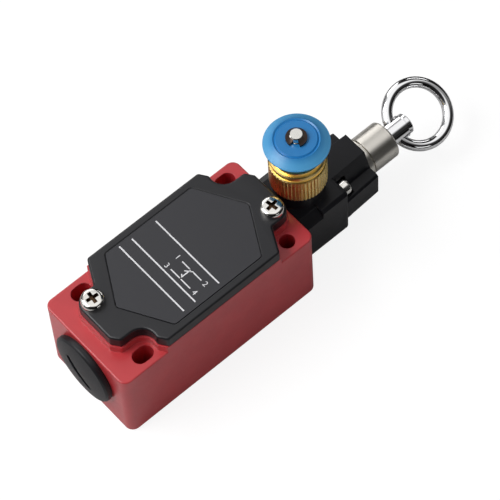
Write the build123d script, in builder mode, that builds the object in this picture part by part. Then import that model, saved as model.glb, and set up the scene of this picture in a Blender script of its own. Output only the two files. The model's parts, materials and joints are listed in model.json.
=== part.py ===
from build123d import *
import math
import os

os.makedirs("parts", exist_ok=True)

# Rope pull switch, in millimetres. The switch lies on its back: Z is up out of the
# front cover, +Y runs along the pull axis towards the ring, X is across the body.
# The origin is on the back mounting face, at the centre of the four fixing holes.

# Cast housing
flange_z = 32.8
body_corner = 3.0
back_edge = 0.6
top_edge = 0.5
side_land = 4.8
conduit_land = 11.65
head_land = 7.75
rim_rise = 2.8
rim_ledge = 0.5
housing_floor = 3.2
side_wall = 3.0
cavity_corner = 4.5

# Fixing holes of the body: three slots and one round hole
fixing_x = 30.0
fixing_y = 60.0
fixing_d = 5.3
slot_length = 7.3

# Front cover
cover_land = 6.1
cover_rise = 4.7
cover_wall = 2.0
cover_edge = 0.8
ear_r = 4.5
notch_in = 4.1
notch_back = 2.4
notch_side_back = 7.0
scallop_r = 5.1
scallop_open = 72.0
scallop_step = 2.1
scallop_bevel = 3.0
cover_corner = 1.2

# Name panel let into the cover
panel_margin = 2.6
panel_tip_back = 8.5
panel_side_back = 18.2
panel_corner = 1.5
panel_depth = 0.45
panel_plate = 0.35

# Cover gasket in the rim
gasket_width = 1.2
gasket_depth = 1.0
gasket_inset = 1.5
gasket_corner = 6.0

# Cover screws
cover_screw_d = 4.0
cover_screw_head_d = 7.9
cover_screw_head_h = 2.5
cover_screw_length = 10.0
recess_width = 1.1
recess_depth = 1.5
screw_clearance = 0.2
tap_depth = 1.0

# Conduit entry and its plug
conduit_z = 18.9
conduit_d = 20.0
thread_gap = 0.1
plug_overlap = 2.7
plug_flange_h = 2.2
plug_dome = 1.3
plug_seal_h = 0.4
plug_thread_length = 9.0
plug_wall = 3.5
plug_edge = 0.6
plug_slot_width = 2.0
plug_slot_length = 13.6
plug_slot_depth = 2.4
plug_slot_angle = -41.0
seal_thickness = 0.6

# Head casting on the +Y end
axis_z = 15.4
head_half_x = 12.6
head_half_z = 12.0
head_length = 20.5
neck_length = 9.2
neck_drop = 0.3
neck_bevel = 3.3
head_bevel = 1.2
head_round = 1.5
nose_length = 13.85
nose_half_x = 11.2
nose_flare = 0.8
shelf_z = 5.4
shelf_bevel = 0.7
rib_half_x = 4.5
rib_foot_x = 7.2
rib_flare = 0.4
pocket_gap = 0.5
spring_bore_d = 11.2
guide_bore_d = 8.5

# Head screws and their spring washers
head_screw_x = 7.8
head_screw_z = 7.2
head_screw_d = 3.0
head_screw_head_d = 5.6
head_screw_head_h = 2.6
head_screw_reach = 9.6
head_washer_d = 5.4
head_washer_h = 0.8
washer_split = 0.5

# Guide sleeve of the pull rod
sleeve_d = 13.6
sleeve_length = 13.7
sleeve_collar_d = 14.8
sleeve_collar_h = 2.6
sleeve_groove = 0.7
sleeve_end_bevel = 0.5
sleeve_spigot_d = 12.6
sleeve_spigot_length = 3.2
wiper_d = 10.6
wiper_length = 1.6
wiper_inset = 0.8

# Pull rod with swivelling eye stem
rod_d = 8.3
running_gap = 0.05
rod_start_gap = 0.55
rod_bevel = 0.5
rod_spring_room = 12.9
rod_collar_d = 10.8
rod_collar_h = 2.0
rod_collar_gap = 2.65
rod_inset = 10.0
latch_groove_d = 5.6
latch_groove_length = 4.6
latch_ramp = 0.6
rod_travel = 5.5
swivel_bore_d = 4.8
swivel_depth = 13.0
swivel_groove_d = 2.6
swivel_pin_d = 1.8
swivel_pin_offset = 2.5
swivel_pin_inset = 6.4
stem_turn = 28.0
eye_reach = 3.45
eye_head_reach = 9.45
eye_hole_d = 5.4
eye_hole_shift = 0.4
eye_hole_bevel = 0.6
eye_neck_d = 6.6
eye_neck_width = 0.8
eye_head_d = 7.4
eye_head_h = 1.5
stem_lead = 0.5
stem_end_gap = 0.6
stem_shoulder_gap = 0.3
swivel_play = 0.3

# Pull ring
ring_r = 10.75
ring_wire_d = 3.8

# Return spring of the rod
rod_spring_wire = 1.0
rod_spring_d = 9.6
rod_spring_turns = 6.0

# Reset knob unit on top of the head
knob_back = 9.85
boss_d = 16.6
boss_h = 6.2
bush_seal_h = 0.5
bush_d = 19.0
bush_thread_d = 12.0
bush_thread_length = 9.2
knurl_h = 10.9
knurl_count = 48
knurl_depth = 0.45
bush_shoulder_d = 17.8
bush_shoulder_h = 2.1
bush_neck_d = 16.2
bush_neck_h = 1.3
bush_chamber_d = 9.2
bush_roof = 4.6
pin_d = 4.5
pin_gap = 0.3
pin_collar_d = 8.8
pin_collar_h = 2.0
pin_collar_rise = 5.6
pin_top = 59.7
knob_d = 21.7
knob_hub_d = 13.0
knob_lift = 0.5
knob_hub_h = 2.4
knob_rim_z = 54.5
knob_top_z = 57.0
knob_face_d = 14.2
knob_groove = 0.35
clip_gap = 0.1
clip_h = 0.8
clip_d = 7.0
clip_groove_d = 3.2
clip_width = 1.3
clip_lug = 1.5
clip_opening = 56.0
clip_turn = -50.0
latch_spring_wire = 0.8
latch_spring_d = 7.6
latch_spring_turns = 9.0

# Plunger through the end wall of the housing
plunger_d = 7.0
plunger_foot_d = 9.0
plunger_foot_h = 1.6
touch_gap = 0.05
lip_seal_d = 11.4
lip_seal_h = 2.2

# Contact block in the cavity
block_width = 25.0
block_end_margin = 0.3
block_front_margin = 1.45
earth_room = 6.8
plunger_room = 3.8
block_wall_z = 19.0
channel_width = 10.4
channel_floor_z = 9.6
channel_end = 2.2
carrier_width = 10.0
carrier_bottom_z = 9.9
carrier_top_z = 26.0
carrier_gap = 0.4
foot_gap = 0.6
carrier_shoulder_z = 18.6
carrier_step = 3.0
carrier_bevel = 0.6
carrier_spring_z = 14.0
bridge_length = 22.0
bridge_height = 3.2
bridge_thickness = 1.0
bridge_corner = 0.8
bridge_z = 22.2
bridge_nc_y = -6.65
bridge_pitch = 9.65
window_play = 0.2
window_spring_room = 3.0
tip_d = 3.0
tip_h = 0.8
tip_x = 9.0
contact_gap = 0.05
terminal_width = 6.0
terminal_thickness = 1.2
terminal_foot = 7.4
terminal_rise = 5.2
terminal_inset = 0.6
terminal_clamp_corner = 0.8
terminal_screw_d = 3.5
terminal_screw_head_d = 5.6
terminal_screw_head_h = 2.0
terminal_screw_length = 7.0
terminal_clamp_h = 0.9
terminal_clamp = 5.8
contact_spring_wire = 0.4
contact_spring_d = 3.2
contact_spring_turns = 3.0
carrier_spring_wire = 0.6
carrier_spring_d = 4.2
carrier_spring_turns = 8.0
carrier_spring_room = 5.6
carrier_spring_depth = 9.0
block_screw_d = 3.0
block_screw_head_d = 5.0
block_screw_head_h = 1.8
block_screw_length = 5.0
lug_y = 5.0
lug_overlap = 2.1
lug_gap = 0.4
lug_h = 3.0
lug_margin = 1.0
lug_screw_inset = 3.0
guard_wall = 1.2
guard_gap = 0.8
guard_rise = 5.2
earth_x = 0.0
earth_inset = 3.2
earth_boss_d = 6.4
earth_boss_h = 6.0
earth_screw_d = 3.5
earth_screw_head_d = 5.6
earth_screw_head_h = 2.0
earth_screw_length = 5.0
earth_clamp_d = 6.0
earth_clamp_h = 1.0

# Levels that follow from the sizes above
body_width = fixing_x + 2 * side_land
conduit_end = fixing_y / 2 + conduit_land
head_end = fixing_y / 2 + head_land
cavity_width = body_width - 2 * side_wall
cover_length = fixing_y + 2 * cover_land
notch_x = fixing_x / 2 - notch_in
notch_y = fixing_y / 2 - notch_back
notch_side_y = fixing_y / 2 - notch_side_back
ear_x = notch_x - ear_r
ear_y = cover_length / 2 - ear_r
panel_x = body_width / 2 - panel_margin
panel_tip = cover_length / 2 - panel_tip_back
panel_side = cover_length / 2 - panel_side_back
plug_flange_d = conduit_d + 2 * plug_overlap
plug_bore_d = conduit_d - 2 * plug_wall
body_length = conduit_end + head_end
body_mid_y = (head_end - conduit_end) / 2
rim_top = flange_z + rim_rise
cover_top = rim_top + cover_rise
head_y = head_end + seal_thickness
block_end_y = head_y + head_length
nose_end_y = block_end_y + nose_length
head_top = axis_z + head_half_z
boss_top = head_top + boss_h
bush_bottom = boss_top + bush_seal_h
knurl_top = bush_bottom + knurl_h
bush_top = knurl_top + bush_shoulder_h + bush_neck_h
sleeve_end_y = nose_end_y + sleeve_length
pin_tip = axis_z + rod_d / 2 + pin_gap
sleeve_back_y = nose_end_y - sleeve_spigot_length
knob_y = head_y + knob_back
rod_start = head_y + rod_start_gap
rod_collar_y = sleeve_back_y - rod_spring_room - rod_collar_h
rod_end = sleeve_end_y - rod_inset
eye_y = sleeve_end_y + eye_reach
eye_end = sleeve_end_y + eye_head_reach
guide_bore_length = rod_collar_y - rod_collar_gap - head_y
pocket_length = head_washer_h + head_screw_head_h + pocket_gap
bush_tail_z = bush_bottom - bush_thread_length
latch_y = knob_y - rod_travel
earth_z = housing_floor + earth_boss_h

# Along the contact block: each pair of contacts sets its terminal legs, the legs set the
# ends of the block, and the block sets the cavity of the housing
bridge_no_y = bridge_nc_y + bridge_pitch
nc_leg_y = bridge_nc_y - tip_h - contact_gap - tip_h
no_leg_y = bridge_no_y + tip_h + rod_travel + contact_gap + tip_h
block_back = nc_leg_y - terminal_foot - block_end_margin
block_front = no_leg_y + terminal_foot + block_front_margin
block_length = block_front - block_back
block_mid_y = (block_front + block_back) / 2
cavity_back = block_back - earth_room
cavity_front = block_front + plunger_room
cavity_length = cavity_front - cavity_back
cavity_mid_y = (cavity_front + cavity_back) / 2
earth_y = cavity_back + earth_inset
carrier_back = -(block_back + channel_end + carrier_gap)
carrier_front = cavity_front - rod_travel - plunger_foot_h - foot_gap
lug_inner = block_width / 2 - lug_overlap
lug_outer = cavity_width / 2 - lug_gap
lug_width = lug_outer - lug_inner
lug_x = (lug_outer + lug_inner) / 2
lug_spots = [(lug_x, block_mid_y + lug_y), (-lug_x, block_mid_y - lug_y)]
lug_screw_x = lug_outer - lug_screw_inset
block_screw_spots = [(lug_screw_x, block_mid_y + lug_y), (-lug_screw_x, block_mid_y - lug_y)]

# Planes on the pull axis: one along it, and one across it at a given Y
axis_section = Plane(origin=(0, 0, axis_z), x_dir=(0, 1, 0), z_dir=(1, 0, 0))


def across(y):
    return Plane(origin=(0, y, axis_z), x_dir=(1, 0, 0), z_dir=(0, -1, 0))


# Outline of the front cover: an ear round each screw with an angled notch beside it,
# and a round scallop at each of the other two fixing holes. One half of the line is
# turned by 180 degrees to give the other half.
scallop_start = math.radians(scallop_open)
scallop_x = fixing_x / 2 - scallop_r
bevel_x = scallop_x - scallop_bevel
with BuildLine() as half_outline:
    Polyline(
        (-bevel_x, cover_length / 2),
        (notch_x, cover_length / 2),
        (notch_x, notch_y),
        (body_width / 2, notch_side_y),
        (body_width / 2, -notch_side_y),
        (
            fixing_x / 2 + scallop_r * math.cos(scallop_start),
            -fixing_y / 2 + scallop_r * math.sin(scallop_start),
        ),
    )
    ThreePointArc(
        half_outline.line @ 1,
        (
            fixing_x / 2 + scallop_r * math.cos((scallop_start + math.pi) / 2),
            -fixing_y / 2 + scallop_r * math.sin((scallop_start + math.pi) / 2),
        ),
        (scallop_x, -fixing_y / 2),
    )
    Polyline(
        (scallop_x, -fixing_y / 2),
        (scallop_x, -cover_length / 2 + scallop_step),
        (bevel_x, -cover_length / 2),
    )
with BuildSketch() as cover_plan:
    with BuildLine():
        add(half_outline.line)
        add(half_outline.line, rotation=180)
    make_face()
    ear_corners = cover_plan.vertices().filter_by(
        lambda v: abs(abs(v.X) - notch_x) < 0.01 and abs(v.Y) > notch_y + 1
    )
    fillet(ear_corners, ear_r - 0.1)
    # The scallop runs tangent into its straight side, so that point has no corner
    plain_corners = cover_plan.vertices().filter_by(
        lambda v: abs(abs(v.Y) - fixing_y / 2) > 0.01 and abs(v.Y) < cover_length / 2 - 0.01
    )
    ear_foot = ear_y - 0.01
    plain_corners = plain_corners.filter_by(
        lambda v: abs(abs(v.X) - notch_x) > 0.01 or abs(v.Y) < ear_foot
    )
    fillet(plain_corners, cover_corner)


# Red cast housing: flange plane with a raised rim that follows the cover.
with BuildPart() as housing:
    with BuildSketch(Plane.XY):
        with Locations((0, body_mid_y)):
            RectangleRounded(body_width, body_length, body_corner)
    extrude(amount=flange_z)
    chamfer(housing.faces().sort_by(Axis.Z)[0].edges(), back_edge)
    fillet(housing.faces().sort_by(Axis.Z)[-1].edges(), top_edge)
    with BuildSketch(Plane.XY.offset(flange_z - top_edge)):
        add(cover_plan.sketch)
        offset(amount=rim_ledge, kind=Kind.ARC)
        with Locations((0, body_mid_y)):
            RectangleRounded(body_width, body_length, body_corner, mode=Mode.INTERSECT)
    extrude(amount=top_edge + rim_rise)
    with BuildSketch(Plane.XY.offset(housing_floor)):
        with Locations((0, cavity_mid_y)):
            RectangleRounded(cavity_width, cavity_length, cavity_corner)
    extrude(amount=rim_top, mode=Mode.SUBTRACT)
    # Groove of the cover gasket
    with BuildSketch(Plane.XY.offset(rim_top - gasket_depth)):
        with Locations((0, cavity_mid_y)):
            RectangleRounded(
                cavity_width + 2 * gasket_inset + gasket_width,
                cavity_length + 2 * gasket_inset + gasket_width,
                gasket_corner + gasket_width / 2,
            )
            RectangleRounded(
                cavity_width + 2 * gasket_inset - gasket_width,
                cavity_length + 2 * gasket_inset - gasket_width,
                gasket_corner - gasket_width / 2,
                mode=Mode.SUBTRACT,
            )
    extrude(amount=gasket_depth, mode=Mode.SUBTRACT)
    # Fixing slots, and the round hole in the corner beside the pull head
    with BuildSketch(Plane.XY):
        with Locations(
            (-fixing_x / 2, -fixing_y / 2),
            (fixing_x / 2, -fixing_y / 2),
            (-fixing_x / 2, fixing_y / 2),
        ):
            SlotOverall(slot_length, fixing_d, rotation=90)
        with Locations((fixing_x / 2, fixing_y / 2)):
            Circle(fixing_d / 2)
    extrude(amount=flange_z + rim_rise, mode=Mode.SUBTRACT)
    # Conduit entry
    with BuildSketch(Plane.XZ.offset(conduit_end)):
        with Locations((0, conduit_z)):
            Circle(conduit_d / 2)
    extrude(amount=-(conduit_end + cavity_back + 1), mode=Mode.SUBTRACT)
    # Plunger bore with the seat of its lip seal in the head end
    with BuildSketch(across(head_end)):
        Circle(plunger_d / 2 + running_gap)
    extrude(amount=head_end - cavity_front + 1, mode=Mode.SUBTRACT)
    with BuildSketch(across(head_end)):
        Circle(lip_seal_d / 2)
    extrude(amount=lip_seal_h, mode=Mode.SUBTRACT)
    # Tapped holes of the head screws and of the cover screws
    with BuildSketch(across(head_end)):
        with GridLocations(2 * head_screw_x, 2 * head_screw_z, 2, 2):
            Circle(head_screw_d / 2)
    extrude(amount=head_screw_reach + tap_depth, mode=Mode.SUBTRACT)
    with BuildSketch(Plane.XY.offset(rim_top)):
        with Locations((ear_x, ear_y), (-ear_x, -ear_y)):
            Circle(cover_screw_d / 2)
    extrude(amount=-(cover_screw_length - cover_rise + tap_depth), mode=Mode.SUBTRACT)
    # Earth screw boss on the floor of the cavity
    with BuildSketch(Plane.XY.offset(housing_floor)):
        with Locations((earth_x, earth_y)):
            Circle(earth_boss_d / 2)
        with Locations((earth_x, earth_y - earth_inset / 2)):
            Rectangle(earth_boss_d, earth_inset)
    extrude(amount=earth_boss_h)
    with BuildSketch(Plane.XY.offset(earth_z)):
        with Locations((earth_x, earth_y)):
            Circle(earth_screw_d / 2)
    extrude(amount=-(earth_screw_length + tap_depth), mode=Mode.SUBTRACT)
    # Tapped holes of the contact block screws
    with BuildSketch(Plane.XY.offset(housing_floor)):
        with Locations(*block_screw_spots):
            Circle(block_screw_d / 2)
    extrude(amount=-(block_screw_length - lug_h), mode=Mode.SUBTRACT)
housing.part.label = "housing"
export_step(housing.part, "parts/housing.step")


# Black moulded cover, hollow under its top, with solid bosses at its two screws.
with BuildPart() as cover:
    with BuildSketch(Plane.XY.offset(rim_top)):
        add(cover_plan.sketch)
    extrude(amount=cover_rise)
    fillet(cover.faces().sort_by(Axis.Z)[-1].edges(), cover_edge)
    with BuildSketch(Plane.XY.offset(rim_top)):
        with Locations((0, cavity_mid_y)):
            RectangleRounded(cavity_width, cavity_length, cavity_corner)
    extrude(amount=cover_rise - cover_wall, mode=Mode.SUBTRACT)
    with BuildSketch(Plane.XY.offset(cover_top - panel_depth)) as panel_pocket:
        with BuildLine():
            Polyline(
                (0, panel_tip),
                (panel_x, panel_side),
                (panel_x, -panel_side),
                (0, -panel_tip),
                (-panel_x, -panel_side),
                (-panel_x, panel_side),
                close=True,
            )
        make_face()
        fillet(panel_pocket.vertices(), panel_corner)
    extrude(amount=panel_depth, mode=Mode.SUBTRACT)
    with BuildSketch(Plane.XY.offset(rim_top)):
        with Locations((ear_x, ear_y), (-ear_x, -ear_y)):
            Circle(cover_screw_d / 2 + screw_clearance)
    extrude(amount=cover_rise, mode=Mode.SUBTRACT)
cover.part.label = "cover"
export_step(cover.part, "parts/cover.step")


# Thin printed panel lying in the cover's recess
with BuildPart() as name_panel:
    with BuildSketch(Plane.XY.offset(cover_top - panel_depth)) as panel_outline:
        with BuildLine():
            Polyline(
                (0, panel_tip),
                (panel_x, panel_side),
                (panel_x, -panel_side),
                (0, -panel_tip),
                (-panel_x, -panel_side),
                (-panel_x, panel_side),
                close=True,
            )
        make_face()
        fillet(panel_outline.vertices(), panel_corner)
        offset(amount=-screw_clearance)
    extrude(amount=panel_plate)
name_panel.part.label = "name_panel"
export_step(name_panel.part, "parts/name_panel.step")


with BuildPart() as cover_gasket:
    with BuildSketch(Plane.XY.offset(rim_top - gasket_depth)):
        with Locations((0, cavity_mid_y)):
            RectangleRounded(
                cavity_width + 2 * gasket_inset + gasket_width,
                cavity_length + 2 * gasket_inset + gasket_width,
                gasket_corner + gasket_width / 2,
            )
            RectangleRounded(
                cavity_width + 2 * gasket_inset - gasket_width,
                cavity_length + 2 * gasket_inset - gasket_width,
                gasket_corner - gasket_width / 2,
                mode=Mode.SUBTRACT,
            )
    extrude(amount=gasket_depth)
cover_gasket.part.label = "cover_gasket"
export_step(cover_gasket.part, "parts/cover_gasket.step")


# Pan head screws with a cross recess
with BuildPart() as cover_screws:
    with BuildSketch(Plane.XY.offset(cover_top)):
        with Locations((ear_x, ear_y), (-ear_x, -ear_y)):
            Circle(cover_screw_head_d / 2)
    extrude(amount=cover_screw_head_h)
    fillet(cover_screws.faces().group_by(Axis.Z)[-1].edges(), cover_screw_head_h * 0.5)
    with BuildSketch(Plane.XY.offset(cover_top)):
        with Locations((ear_x, ear_y), (-ear_x, -ear_y)):
            Circle(cover_screw_d / 2 - running_gap)
    extrude(amount=-cover_screw_length)
    with BuildSketch(Plane.XY.offset(cover_top + cover_screw_head_h)):
        with Locations((ear_x, ear_y), (-ear_x, -ear_y)):
            Rectangle(cover_screw_head_d * 0.55, recess_width, rotation=40)
            Rectangle(recess_width, cover_screw_head_d * 0.55, rotation=40)
    extrude(amount=-recess_depth, taper=8, mode=Mode.SUBTRACT)
cover_screws.part.label = "cover_screws"
export_step(cover_screws.part, "parts/cover_screws.step")


# Blanking plug of the conduit entry: domed face with a coin slot, hollow threaded shank
plug_section = Plane(origin=(0, 0, conduit_z), x_dir=(0, 1, 0), z_dir=(1, 0, 0))
plug_back_y = -conduit_end - plug_seal_h
plug_face_y = plug_back_y - plug_flange_h
plug_shank_y = plug_back_y + plug_seal_h + plug_thread_length
with BuildPart() as conduit_plug:
    with BuildSketch(plug_section):
        with BuildLine():
            plug_profile = Polyline(
                (plug_face_y - plug_dome, 0),
                (plug_shank_y, 0),
                (plug_shank_y, conduit_d / 2 - thread_gap),
                (plug_back_y, conduit_d / 2 - thread_gap),
                (plug_back_y, plug_flange_d / 2),
                (plug_face_y + plug_edge, plug_flange_d / 2),
                (plug_face_y, plug_flange_d / 2 - plug_edge),
            )
            TangentArc(plug_profile @ 0, plug_profile @ 1, tangent=(0, 1))
        make_face()
    revolve(axis=Axis((0, 0, conduit_z), (0, 1, 0)))
    with BuildSketch(Plane.XZ.offset(-plug_face_y + plug_dome)):
        with Locations((0, conduit_z)):
            SlotOverall(plug_slot_length, plug_slot_width, rotation=plug_slot_angle)
    extrude(amount=-plug_slot_depth, mode=Mode.SUBTRACT)
    with BuildSketch(Plane.XZ.offset(-plug_shank_y)):
        with Locations((0, conduit_z)):
            Circle(plug_bore_d / 2)
    extrude(amount=plug_thread_length, mode=Mode.SUBTRACT)
conduit_plug.part.label = "conduit_plug"
export_step(conduit_plug.part, "parts/conduit_plug.step")


with BuildPart() as plug_seal:
    with BuildSketch(Plane.XZ.offset(conduit_end)):
        with Locations((0, conduit_z)):
            Circle(plug_flange_d / 2 - plug_edge)
            Circle(conduit_d / 2 + running_gap, mode=Mode.SUBTRACT)
    extrude(amount=plug_seal_h)
plug_seal.part.label = "plug_seal"
export_step(plug_seal.part, "parts/plug_seal.step")


# Black head casting: a bevelled block bolted to the body, with a slightly lower neck
# beside the body. The nose that carries the guide sleeve is a drafted slab with a rib
# above and below, so that the screw heads stand on open shelves beside the ribs.
with BuildPart() as head_housing:
    with BuildSketch(across(head_y)) as neck_section:
        with Locations((0, -neck_drop / 2)):
            Rectangle(2 * head_half_x, 2 * head_half_z - neck_drop)
        chamfer(neck_section.vertices(), neck_bevel)
    extrude(amount=-neck_length)
    with BuildSketch(across(head_y + neck_length)) as block_section:
        Rectangle(2 * head_half_x, 2 * head_half_z)
        chamfer(block_section.vertices().group_by(Axis.Y)[-1], head_bevel)
        chamfer(block_section.vertices().group_by(Axis.Y)[0], neck_bevel)
    extrude(amount=-(head_length - neck_length))
    front_edges = head_housing.faces().sort_by(Axis.Y)[-1].edges()
    fillet(front_edges, head_round)
    for nose_y, side_flare, foot_flare in (
        (block_end_y - head_round, nose_flare, rib_flare),
        (nose_end_y, 0, 0),
    ):
        with BuildSketch(across(nose_y)):
            with BuildLine():
                Polyline(
                    (0, head_half_z),
                    (rib_half_x + foot_flare, head_half_z),
                    (rib_foot_x + foot_flare, shelf_z),
                    (nose_half_x + side_flare - shelf_bevel, shelf_z),
                    (nose_half_x + side_flare, shelf_z - shelf_bevel),
                    (nose_half_x + side_flare, shelf_bevel - shelf_z),
                    (nose_half_x + side_flare - shelf_bevel, -shelf_z),
                    (rib_foot_x + foot_flare, -shelf_z),
                    (rib_half_x + foot_flare, -head_half_z),
                    (0, -head_half_z),
                )
                mirror(about=Plane.YZ)
            make_face()
    loft(ruled=True)
    # Pockets in the nose that clear the four screw heads
    with BuildSketch(across(block_end_y)):
        with GridLocations(2 * head_screw_x, 2 * head_screw_z, 2, 2):
            Circle(head_screw_head_d / 2 + pocket_gap)
    extrude(amount=-pocket_length, mode=Mode.SUBTRACT)
    # Boss under the reset knob
    with BuildSketch(Plane.XY.offset(axis_z + spring_bore_d / 2)):
        with Locations((0, knob_y)):
            Circle(boss_d / 2)
    extrude(amount=boss_top - axis_z - spring_bore_d / 2)
    # Guide bore, spring bore and sleeve seat along the pull axis
    with BuildSketch(across(head_y)):
        Circle(guide_bore_d / 2)
    extrude(amount=-(head_length + nose_length), mode=Mode.SUBTRACT)
    with BuildSketch(across(head_y + guide_bore_length)):
        Circle(spring_bore_d / 2)
    extrude(amount=-(head_length + nose_length - guide_bore_length), mode=Mode.SUBTRACT)
    with BuildSketch(across(sleeve_back_y)):
        Circle(sleeve_spigot_d / 2)
    extrude(amount=-sleeve_spigot_length, mode=Mode.SUBTRACT)
    # Bore of the latch pin, tapped for the knurled bush
    with BuildSketch(Plane.XY.offset(axis_z)):
        with Locations((0, knob_y)):
            Circle(pin_d / 2 + pin_gap)
    extrude(amount=boss_top - axis_z, mode=Mode.SUBTRACT)
    with BuildSketch(Plane.XY.offset(boss_top)):
        with Locations((0, knob_y)):
            Circle(bush_thread_d / 2)
    extrude(amount=-(boss_top - bush_tail_z), mode=Mode.SUBTRACT)
    # Clearance holes of the head screws
    with BuildSketch(across(head_y)):
        with GridLocations(2 * head_screw_x, 2 * head_screw_z, 2, 2):
            Circle(head_screw_d / 2 + screw_clearance)
    extrude(amount=-head_length, mode=Mode.SUBTRACT)
head_housing.part.label = "head_housing"
export_step(head_housing.part, "parts/head_housing.step")


with BuildPart() as head_gasket:
    with BuildSketch(across(head_end)) as gasket_section:
        with Locations((0, -neck_drop / 2)):
            Rectangle(2 * head_half_x, 2 * head_half_z - neck_drop)
        chamfer(gasket_section.vertices(), neck_bevel)
        Circle(lip_seal_d / 2, mode=Mode.SUBTRACT)
        with GridLocations(2 * head_screw_x, 2 * head_screw_z, 2, 2):
            Circle(head_screw_d / 2 + screw_clearance, mode=Mode.SUBTRACT)
    extrude(amount=-seal_thickness)
head_gasket.part.label = "head_gasket"
export_step(head_gasket.part, "parts/head_gasket.step")


# Long screws through the head into the body, each on a split spring washer
screw_seat_y = block_end_y + head_washer_h
with BuildPart() as head_screws:
    with BuildSketch(across(screw_seat_y)):
        with GridLocations(2 * head_screw_x, 2 * head_screw_z, 2, 2):
            Circle(head_screw_head_d / 2)
    extrude(amount=-head_screw_head_h)
    fillet(head_screws.faces().group_by(Axis.Y)[-1].edges(), head_screw_head_h * 0.4)
    with BuildSketch(across(screw_seat_y + head_screw_head_h)):
        with GridLocations(2 * head_screw_x, 2 * head_screw_z, 2, 2):
            Rectangle(head_screw_head_d * 0.55, recess_width)
            Rectangle(recess_width, head_screw_head_d * 0.55)
    extrude(amount=recess_depth, taper=8, mode=Mode.SUBTRACT)
    with BuildSketch(across(screw_seat_y)):
        with GridLocations(2 * head_screw_x, 2 * head_screw_z, 2, 2):
            Circle(head_screw_d / 2 - running_gap)
    extrude(amount=screw_seat_y - head_end + head_screw_reach)
head_screws.part.label = "head_screws"
export_step(head_screws.part, "parts/head_screws.step")


with BuildPart() as spring_washers:
    with BuildSketch(across(block_end_y)):
        with GridLocations(2 * head_screw_x, 2 * head_screw_z, 2, 2):
            Circle(head_washer_d / 2)
            Circle(head_screw_d / 2 + screw_clearance, mode=Mode.SUBTRACT)
            with Locations((head_washer_d / 2, 0)):
                Rectangle(head_washer_d, washer_split, mode=Mode.SUBTRACT)
    extrude(amount=-head_washer_h)
spring_washers.part.label = "spring_washers"
export_step(spring_washers.part, "parts/spring_washers.step")


# Turned guide sleeve of the pull rod
with BuildPart() as guide_sleeve:
    with BuildSketch(axis_section):
        with BuildLine():
            Polyline(
                (sleeve_back_y, rod_d / 2 + running_gap),
                (sleeve_back_y, sleeve_spigot_d / 2),
                (nose_end_y, sleeve_spigot_d / 2),
                (nose_end_y, sleeve_collar_d / 2),
                (nose_end_y + sleeve_collar_h, sleeve_collar_d / 2),
                (nose_end_y + sleeve_collar_h, sleeve_d / 2 - sleeve_groove),
                (nose_end_y + sleeve_collar_h + sleeve_groove, sleeve_d / 2 - sleeve_groove),
                (nose_end_y + sleeve_collar_h + sleeve_groove, sleeve_d / 2),
                (sleeve_end_y - sleeve_end_bevel, sleeve_d / 2),
                (sleeve_end_y, sleeve_d / 2 - sleeve_end_bevel),
                (sleeve_end_y, guide_bore_d / 2 + sleeve_groove),
                (sleeve_end_y - wiper_inset, wiper_d / 2),
                (sleeve_end_y - wiper_inset - wiper_length, wiper_d / 2),
                (sleeve_end_y - wiper_inset - wiper_length, rod_d / 2 + running_gap),
                close=True,
            )
        make_face()
    revolve(axis=Axis((0, 0, axis_z), (0, 1, 0)))
guide_sleeve.part.label = "guide_sleeve"
export_step(guide_sleeve.part, "parts/guide_sleeve.step")


with BuildPart() as rod_wiper:
    with BuildSketch(across(sleeve_end_y - wiper_inset)):
        Circle(wiper_d / 2)
        Circle(rod_d / 2 + running_gap, mode=Mode.SUBTRACT)
    extrude(amount=wiper_length)
rod_wiper.part.label = "rod_wiper"
export_step(rod_wiper.part, "parts/rod_wiper.step")


# Pull rod: latch groove, spring collar, and a bored end in which the eye stem swivels
swivel_pin_y = rod_end - swivel_pin_inset
with BuildPart() as pull_rod:
    with BuildSketch(axis_section):
        with BuildLine():
            Polyline(
                (rod_start, 0),
                (rod_start, rod_d / 2 - rod_bevel),
                (rod_start + rod_bevel, rod_d / 2),
                (latch_y - latch_groove_length / 2 - latch_ramp, rod_d / 2),
                (latch_y - latch_groove_length / 2, latch_groove_d / 2),
                (latch_y + latch_groove_length / 2, latch_groove_d / 2),
                (latch_y + latch_groove_length / 2, rod_d / 2),
                (rod_collar_y, rod_d / 2),
                (rod_collar_y, rod_collar_d / 2),
                (rod_collar_y + rod_collar_h, rod_collar_d / 2),
                (rod_collar_y + rod_collar_h, rod_d / 2),
                (rod_end, rod_d / 2),
                (rod_end, swivel_bore_d / 2),
                (rod_end - swivel_depth, swivel_bore_d / 2),
                (rod_end - swivel_depth - swivel_bore_d / 4, 0),
                close=True,
            )
        make_face()
    revolve(axis=Axis((0, 0, axis_z), (0, 1, 0)))
    with BuildSketch(Plane.YZ.offset(-rod_d / 2)):
        with Locations((swivel_pin_y, axis_z + swivel_pin_offset)):
            Circle(swivel_pin_d / 2)
    extrude(amount=rod_d, mode=Mode.SUBTRACT)
pull_rod.part.label = "pull_rod"
export_step(pull_rod.part, "parts/pull_rod.step")


# Cross pin that holds the eye stem in the rod and lets it turn
pin_half = math.sqrt((rod_d / 2) ** 2 - (swivel_pin_offset + swivel_pin_d / 2) ** 2)
with BuildPart() as swivel_pin:
    with BuildSketch(Plane.YZ.offset(-pin_half)):
        with Locations((swivel_pin_y, axis_z + swivel_pin_offset)):
            Circle(swivel_pin_d / 2)
    extrude(amount=2 * pin_half)
swivel_pin.part.label = "swivel_pin"
export_step(swivel_pin.part, "parts/swivel_pin.step")


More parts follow.
